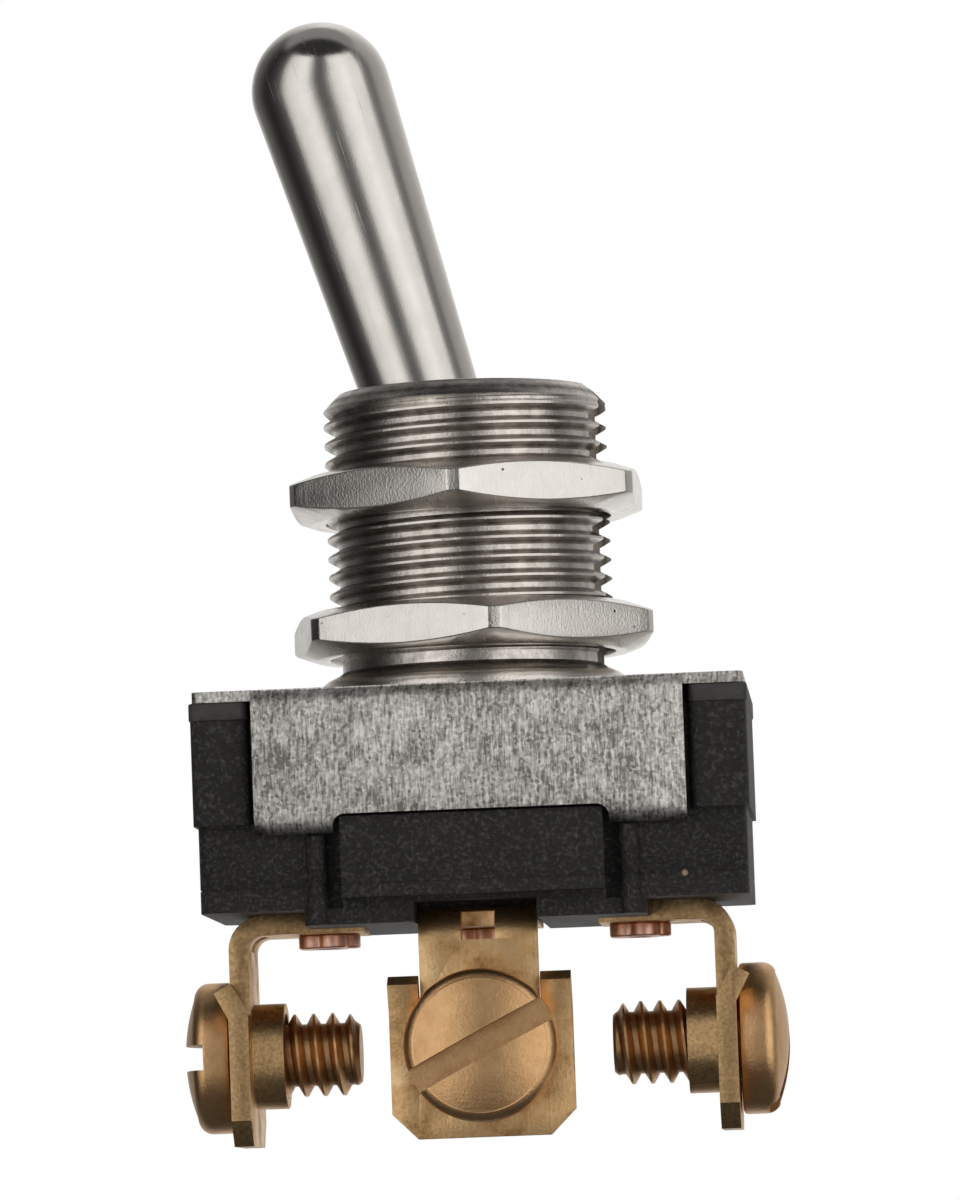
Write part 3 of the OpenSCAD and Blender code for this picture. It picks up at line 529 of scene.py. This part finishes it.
def threadSleeve(sizes, finish):
    # the tree's result as a bmesh-ready mesh; the sizes are in millimetres
    holder = newObject("threadSleeve", bpy.data.meshes.new("threadSleeve"))
    step = holder.modifiers.new("thread", "NODES")
    step.node_group = threadNodes
    rows = 16 * (math.ceil((sizes["Top"] - sizes["Bottom"]) / sizes["Pitch"]) + 1) + 1
    values = {key: value * mm for key, value in sizes.items() if key not in ("Seed", "Columns")}
    values.update({"Seed": sizes["Seed"], "Columns": sizes["Columns"] + 1, "Rows": rows, "Finish": finish})
    for item in threadNodes.interface.items_tree:
        if item.in_out == "INPUT":
            step[item.identifier] = values[item.name]
    graph = bpy.context.evaluated_depsgraph_get()
    mesh = bpy.data.meshes.new_from_object(holder.evaluated_get(graph))
    discard(holder)
    return mesh


def joinedMesh(name, parts):
    # several meshes, or (points, faces) pairs, in one closed mesh
    bm = bmesh.new()
    for part in parts:
        bm.from_mesh(part if isinstance(part, bpy.types.Mesh) else meshFrom("part", *part))
    close(bm, 4e-6)
    mesh = bpy.data.meshes.new(name)
    bm.to_mesh(mesh)
    bm.free()
    return mesh


def storeRecess(thing, axisPoint, axisWay, root, crest, wallWay=None):
    # how deep each corner of a face lies under the crests, 0 to 1; on a screw, which gives
    # wallWay, the head counts as crest and the walls of its slot get a set value that paints shade on them
    # the walls of the slot get this value, so painted shade darkens them
    slotPaintedShade = 0.8
    axisWay = Vector(axisWay).normalized()
    layer = thing.data.attributes.new("recess", "FLOAT", "CORNER")
    for face in thing.data.polygons:
        arm = face.center - Vector(axisPoint)
        wall = (wallWay is not None and abs(face.normal.dot(wallWay)) > 0.95
                and arm.dot(axisWay) > 0.5 * mm and abs(arm.dot(wallWay)) < 1 * mm)
        for corner in face.loop_indices:
            arm = thing.data.vertices[thing.data.loops[corner].vertex_index].co - Vector(axisPoint)
            radius = (arm - axisWay * arm.dot(axisWay)).length
            depth = min(1, max(0, (crest - radius) / (crest - root)))
            headFace = wallWay is not None and face.center.dot(axisWay) > Vector(axisPoint).dot(axisWay)
            layer.data[corner].value = slotPaintedShade if wall else 0 if headFace else depth


bushing = {"crest": 5.93, "root": 5.47, "pitch": 0.79375, "lipFrom": 11.95, "top": 12.65, "rim": 5.33,
           "mouth": 4.6, "seat": (3.35, 8.354), "boreMid": 3.9, "boreLow": 4.4, "reliefTop": 1.35,
           "relief": 5.48, "foot": 6.55, "spigot": 5.2, "stake": 5.6, "sheet": 0.45, "stakeDrop": 0.5,
           "keyWidth": 2.0, "keyDepth": 0.85, "keyTurn": -6, "pivot": 6.43, "pinSlot": 0.65,
           "pinHalf": 4.8, "columns": 144}


def makeBushing():
    b = bushing
    sleeve = threadSleeve({"Crest Radius": b["crest"], "Thread Depth": b["crest"] - b["root"],
                           "Low Radius": b["relief"], "Pitch": b["pitch"], "Bottom": b["reliefTop"],
                           "Top": b["lipFrom"], "Low Runout": 0.45, "High Runout": 0.5,
                           "Nick Depth": 0.22, "Nick Size": 0.22, "Seed": 3.0,
                           "Columns": b["columns"]}, bushingNickel)
    under = -b["sheet"] - b["stakeDrop"]
    edge = 0.09
    profile = [(b["crest"], b["lipFrom"]), (b["crest"] - 0.03, b["lipFrom"] + 0.06),
               (b["rim"] + 0.12, b["top"] - 0.16)]
    profile += arc((b["rim"] - edge, b["top"] - edge), edge, 25, 90, 4)
    profile += arc((b["mouth"] + edge, b["top"] - edge), edge, 90, 180, 4)
    profile += [b["seat"], (b["boreMid"], b["pivot"]), (b["boreMid"], b["pivot"] - 3),
                (b["boreLow"], b["pivot"] - 4), (b["boreLow"], under), (b["stake"], under),
                (b["stake"], -b["sheet"]), (b["spigot"], -b["sheet"]), (b["spigot"], 0), (b["foot"], 0),
                (b["foot"] - 0.03, 0.12), (b["foot"] - 0.15, 0.38), (b["foot"] - 0.42, 0.6),
                (b["relief"] + 0.2, 0.8), (b["relief"], 0.96), (b["relief"], b["reliefTop"])]
    rest = lathe([(r * mm, z * mm) for r, z in profile], b["columns"])
    piece = newObject("threaded_bushing", joinedMesh("threaded_bushing", [sleeve, rest]))

    turn = Matrix.Rotation(math.radians(b["keyTurn"]), 4, "Z")
    cutAway(piece, lambda bm: blockMesh(bm, ((b["crest"] - b["keyDepth"]) * mm, -b["keyWidth"] / 2 * mm,
                                             0.95 * mm), (9 * mm, b["keyWidth"] / 2 * mm, 14 * mm), turn))
    slot = [(-b["pinSlot"] * mm, -2 * mm), (b["pinSlot"] * mm, -2 * mm)] + arc(
        (0, b["pivot"] * mm), b["pinSlot"] * mm, 0, 180, 16)
    stand = Matrix.Rotation(math.pi / 2, 4, "X")
    for low, high in ((-b["pinHalf"] - 0.05, -3), (3, b["pinHalf"] + 0.05)):
        cutAway(piece, lambda bm: prismMesh(bm, slot, low * mm, high * mm, stand))
    storeRecess(piece, (0, 0, 0), (0, 0, 1), b["root"] * mm, b["crest"] * mm)
    finishPiece(piece, "housing", "bushing", bushingNickel, 32)


makeBushing()
print("bushing turned")


lever = {"pivot": 6.43, "reach": 22.926, "tip": 2.93, "neck": 2.44, "waist": 2.15, "ball": 3.7,
         "tail": 1.9, "tailReach": 8.2, "bore": 1.25, "boreTop": -2.6, "pin": 0.6, "columns": 128}


def makeLever():
    v = lever
    neckAt = (bushing["top"] - v["pivot"]) / math.cos(leverTilt)
    tipAt = v["reach"] - v["tip"]
    slope = math.asin((v["tip"] - v["neck"]) / (tipAt - neckAt))
    profile = [(0, v["boreTop"]), (v["bore"], v["boreTop"]), (v["bore"], -v["tailReach"] + 0.1),
               (v["bore"] + 0.1, -v["tailReach"]), (v["tail"] - 0.12, -v["tailReach"]),
               (v["tail"], -v["tailReach"] + 0.12)]
    lowest = -math.degrees(math.acos(v["tail"] / v["ball"]))
    highest = math.degrees(math.acos(v["waist"] / v["ball"]))
    profile += arc((0, 0), v["ball"], lowest, highest - 6, 24)
    profile += [(v["waist"], 3.25), (v["waist"] + 0.1, 3.9)]
    steps = 26
    for k in range(steps + 1):
        s = neckAt - 1 + (tipAt - neckAt + 1) * k / steps
        profile.append((v["neck"] + (v["tip"] - v["neck"]) * (s - neckAt) / (tipAt - neckAt), s))
    profile += arc((0, tipAt), v["tip"], math.degrees(slope), 90, 30)[1:]
    piece = newObject("polished_bat_lever",
                      joinedMesh("polished_bat_lever", [lathe([(r * mm, z * mm) for r, z in profile],
                                                              v["columns"])]))
    cutAway(piece, lambda bm: rodMesh(bm, v["pin"] * mm, -5 * mm, 5 * mm,
                                      Matrix.Rotation(math.pi / 2, 4, "X")))
    stand = Matrix.Translation((0, 0, v["pivot"] * mm)) @ Matrix.Rotation(-leverTilt, 4, "Y")
    piece.data.transform(stand)
    finishPiece(piece, "lever", "bat_lever", leverNickel, 40)


makeLever()
print("lever turned")

# the coil is a merged copy of the CAD spring, moving with the lever
coil = newObject("coiled_plunger_spring", nodes["plunger_spring"].data.copy())
springFinish = coil.data.materials[0]
editMesh(coil.data, close)
finishPiece(coil, "lever", "plunger_spring", springFinish, 50)
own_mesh(coil)
print("spring coiled")


for name, node, body in (("upper_jam_nut", "upper_hex_nut", "upper_nut"),
                         ("lower_jam_nut", "lower_hex_nut", "lower_nut")):
    finishPiece(softened(name, node, 0.05, 2, 12), body, node, nutNickel, 30)
finishPiece(softened("folded_frame", "mounting_frame", 0.07, 2, 30), "housing", "mounting_frame",
            sheetSteel, 40)
finishPiece(softened("fibre_gasket_sheet", "gasket", 0.12, 2, 30), "housing", "gasket",
            fibre, 50)
mouldLine = {"height": -8.15, "half": 0.035, "depth": 0.06}
shell = softened("moulded_case", "case", 0.09, 2, 30)


def partingGroove(bm):
    # the line where the two halves of the mould met, drawn as a fine groove
    m = mouldLine
    for step in (-1, 0, 1):
        bmesh.ops.bisect_plane(bm, geom=bm.verts[:] + bm.edges[:] + bm.faces[:], plane_no=(0, 0, 1),
                               plane_co=(0, 0, (m["height"] + step * m["half"]) * mm))
    bm.normal_update()
    ring = [(vert, vert.normal.copy()) for vert in bm.verts
            if abs(vert.co.z - m["height"] * mm) < 1e-7 and abs(vert.normal.z) < 0.3]
    for vert, normal in ring:
        vert.co -= normal * m["depth"] * mm


editMesh(shell.data, partingGroove)
finishPiece(shell, "housing", "case", phenolic, 40)
print("nuts, frame, gasket and case finished")


stripEnd = -18 * mm        # a face below this that looks down is the cut end of a strip


def storeShear(thing, turn):
    # marks the blanked edges of a strip: its sides, cut corners and end
    spin = Matrix.Rotation(-turn, 3, "Z")
    layer = thing.data.attributes.new("shear", "FLOAT", "FACE")
    for face in thing.data.polygons:
        way = spin @ face.normal
        endFace = way.z < -0.95 and face.center.z < stripEnd
        layer.data[face.index].value = 1 if abs(way.x) > 0.5 or endFace else 0


terminals = {"left": -math.pi / 2, "center": 0, "right": math.pi / 2}
for side, turn in terminals.items():
    strip = softened("terminal_strip_" + side, "terminal_" + side, 0.06, 2, 30)
    storeShear(strip, turn)
    finishPiece(strip, "housing", "terminal_" + side, brass, 40)
print("terminals finished")


screw = {"crest": 1.73, "root": 1.3, "pitch": 0.79375, "length": 5.3, "head": 3.15, "height": 2.03,
         "dome": 0.45, "shoulder": 0.6, "slot": 1.05, "slotDepth": 0.95, "gap": 0.08, "axis": -14.9,
         "columns": 96,
         "reach": {"left": 10.5, "center": 4.75, "right": 10.5},
         "slotTurn": {"left": 0, "center": 27, "right": 74}}


def makeScrew(side, turn, seed):
    s = screw
    # drawn along Z: the head's seat at 0 and the thread below it
    sleeve = threadSleeve({"Crest Radius": s["crest"], "Thread Depth": s["crest"] - s["root"],
                           "Low Radius": s["root"], "Pitch": s["pitch"], "Bottom": -s["length"] + 0.12,
                           "Top": -0.25, "Low Runout": 0.35, "High Runout": 0.3, "Nick Depth": 0.1,
                           "Nick Size": 0.2, "Seed": seed, "Columns": s["columns"]}, screwBronze)
    profile = [(0, -s["length"]), (s["root"] - 0.1, -s["length"]), (s["root"], -s["length"] + 0.12)]
    hub, flat = s["head"] - s["shoulder"], s["height"] - s["dome"]
    domeRadius = (hub ** 2 + s["dome"] ** 2) / (2 * s["dome"])
    upper = [(s["crest"], -0.25), (s["crest"], 0), (s["head"] - 0.16, 0), (s["head"] - 0.04, 0.05),
             (s["head"], 0.18)] + arc((hub, flat - s["shoulder"]), s["shoulder"], 0, 66, 8)
    start = upper[-1][0] - 0.05
    for k in range(13):
        r = start * (1 - k / 12)
        upper.append((r, s["height"] - domeRadius + math.sqrt(domeRadius ** 2 - r * r)))
    parts = [sleeve] + [lathe([(max(r, 0) * mm, z * mm) for r, z in p], s["columns"])
                        for p in (profile, upper)]
    piece = newObject("binding_screw_" + side, joinedMesh("binding_screw_" + side, parts))
    slotSpin = Matrix.Rotation(math.radians(s["slotTurn"][side]), 4, "Z")
    slotFloor = s["height"] - s["slotDepth"]
    cutAway(piece, lambda bm: blockMesh(bm, (-5 * mm, -s["slot"] / 2 * mm, slotFloor * mm),
                                        (5 * mm, s["slot"] / 2 * mm, 4 * mm), slotSpin))
    place = (Matrix.Rotation(turn, 4, "Z")
             @ Matrix.Translation((0, -(s["reach"][side] + s["gap"]) * mm, s["axis"] * mm))
             @ Matrix.Rotation(math.pi / 2, 4, "X"))
    piece.data.transform(place)
    centre = place @ Vector((0, 0, 0))
    way = place.to_3x3() @ Vector((0, 0, 1))
    wallWay = (place @ slotSpin).to_3x3() @ Vector((0, 1, 0))
    storeRecess(piece, centre, way, s["root"] * mm, s["crest"] * mm, wallWay)
    finishPiece(piece, "screw_" + side, "terminal_screw_" + side, screwBronze, 32)


for number, (side, turn) in enumerate(terminals.items()):
    makeScrew(side, turn, 5.0 + number)
print("screws turned")


for side in terminals:
    finishPiece(softened("clinched_rivet_" + side, "rivet_" + side, 0.08, 3, 30), "housing",
                "rivet_" + side, copper, 45)
print("rivets clinched")


def softStudio():
    # Two soft boxes in front, a dark gap between them, darker sides and a white backdrop.
    # Metal sees these; the camera sees plain white.
    world = bpy.data.worlds.new("softStudio")
    bpy.context.scene.world = world
    world.use_nodes = True
    tree = world.node_tree
    tree.nodes.clear()

    def calc(operation, *values, clamp=False):
        return add(tree, "ShaderNodeMath", dict(enumerate(values)), operation=operation,
                   use_clamp=clamp).outputs[0]
    way = add(tree, "ShaderNodeSeparateXYZ", {0: add(tree, "ShaderNodeTexCoord").outputs["Generated"]})
    x, y, z = way.outputs
    around = calc("MULTIPLY_ADD", calc("ARCTAN2", x, calc("MULTIPLY", y, -1)), 0.5 / math.pi, 0.5)
    ramp = add(tree, "ShaderNodeValToRGB", {"Fac": around})
    ramp.color_ramp.interpolation = "LINEAR"
    # strength seen in a mirror at each angle from the front, to the right positive
    strengths = {-180: 0.9, -160: 0.55, -140: 0.17, -110: 0.04, -97: 0.02, -80: 0.05, -68: 0.12, -60: 0.62,
                 -52: 0.85, -30: 1.05, -20: 1.0, -11: 0.45, -5: 0.17, 0: 0.12, 7: 0.14, 14: 0.28, 21: 0.8,
                 30: 0.98, 45: 1.15, 60: 0.95, 76: 0.9, 84: 0.25, 97: 0.16, 108: 0.34, 139: 0.48,
                 160: 0.7, 180: 0.9}
    stops = ramp.color_ramp.elements
    while len(stops) > 1:
        stops.remove(stops[-1])
    for k, (angle, strength) in enumerate(strengths.items()):
        stop = stops[0] if k == 0 else stops.new((angle + 180) / 360)
        stop.position = (angle + 180) / 360
        stop.color = (strength, strength * 0.985, strength * 0.965, 1)
    height = calc("ARCSINE", z)
    lowEdge = add(tree, "ShaderNodeMapRange", {"Value": height, "From Min": math.radians(-40),
                                               "From Max": math.radians(-26)},
                  interpolation_type="SMOOTHSTEP").outputs[0]
    highEdge = add(tree, "ShaderNodeMapRange", {"Value": height, "From Min": math.radians(57),
                                                "From Max": math.radians(49)},
                   interpolation_type="SMOOTHSTEP").outputs[0]
    window = calc("MULTIPLY", lowEdge, highEdge)
    ceiling = add(tree, "ShaderNodeMapRange", {"Value": y, "From Min": -0.05, "From Max": 0.12,
                                               "To Min": 0.03, "To Max": 0.26},
                  interpolation_type="SMOOTHSTEP").outputs[0]
    upward = calc("GREATER_THAN", z, 0)
    outside = calc("ADD", calc("MULTIPLY", ceiling, upward),
                   calc("MULTIPLY", calc("SUBTRACT", 1, upward), 0.07))
    studio = add(tree, "ShaderNodeMix", {"Factor": window, "A": outside, "B": ramp.outputs[0]},
                 data_type="RGBA")
    path = add(tree, "ShaderNodeLightPath").outputs
    mirrorRay = calc("MAXIMUM", path["Is Glossy Ray"], path["Is Transmission Ray"])
    sees = add(tree, "ShaderNodeMix", {"Factor": mirrorRay, "A": (0.42, 0.42, 0.42, 1),
                                       "B": studio.outputs["Result"]}, data_type="RGBA")
    shown = add(tree, "ShaderNodeMix", {"Factor": path["Is Camera Ray"], "A": sees.outputs["Result"],
                                        "B": (1, 1, 1, 1)}, data_type="RGBA")
    back = add(tree, "ShaderNodeBackground", {"Color": shown.outputs["Result"], "Strength": 1})
    add(tree, "ShaderNodeOutputWorld", {"Surface": back.outputs[0]})


def softLamp(name, place, size, watts):
    lamp = bpy.data.lights.new(name, "AREA")
    lamp.shape, lamp.size, lamp.size_y, lamp.energy = "RECTANGLE", size[0], size[1], watts
    thing = newObject(name, lamp)
    thing.location = place
    thing.rotation_euler = (-Vector(place)).to_track_quat("-Z", "Y").to_euler()
    thing.visible_glossy = False        # the world carries the soft boxes' mirror image


softStudio()
softLamp("leftSoftBox", (-0.27, -0.36, 0.12), (0.24, 0.42), 1.1)
softLamp("rightSoftBox", (0.33, -0.31, 0.12), (0.28, 0.42), 1.1)
softLamp("topSoftBox", (0.0, 0.12, 0.5), (0.5, 0.4), 1.6)

floorLevel = -25.6 * mm
floorRings = [(radius, floorLevel) for radius in (0.0, 0.6, 2.5)]
floor = newObject("floor", meshFrom("floor", *lathe(floorRings, 64)))
editMesh(floor.data, close)
paper, tree, shader, coords = startMaterial("pale paper floor")
fleck = add(tree, "ShaderNodeTexNoise", {"Vector": coords, "Scale": perMm(3), "Detail": 3})
tone = add(tree, "ShaderNodeMix", {"Factor": fleck.outputs[0], "A": linear("#f1f0ee"),
                                   "B": linear("#f6f5f3")}, data_type="RGBA")
tree.links.new(tone.outputs["Result"], shader.inputs["Base Color"])
shader.inputs["Roughness"].default_value = 0.9
floor.data.materials.append(paper)
floor.visible_glossy = False

view = {"place": (17.387, -327.074, -23.374), "yaw": 0.0520, "pitch": 0.0830, "roll": -0.0370,
        "lens": 235.1745, "sensor": 36}
yaw, pitch, roll = view["yaw"], view["pitch"], view["roll"]
ahead = Vector((-math.sin(yaw) * math.cos(pitch), math.cos(yaw) * math.cos(pitch), math.sin(pitch)))
right = Vector((math.cos(yaw), math.sin(yaw), 0))
up = right.cross(ahead)
rightRolled = math.cos(roll) * right + math.sin(roll) * up
upRolled = -math.sin(roll) * right + math.cos(roll) * up
lens = bpy.data.cameras.new("studioCamera")
lens.sensor_fit, lens.sensor_height = "VERTICAL", view["sensor"]
lens.lens = view["lens"]
lens.clip_start, lens.clip_end = 0.01, 10
camera = newObject("studioCamera", lens)
camera.matrix_world = Matrix.Translation(Vector(view["place"]) * mm) @ Matrix(
    (rightRolled, upRolled, -ahead)).transposed().to_4x4()
bpy.context.scene.camera = camera
bpy.context.scene.view_settings.view_transform = "Standard"
print("stage, lamps and camera set")
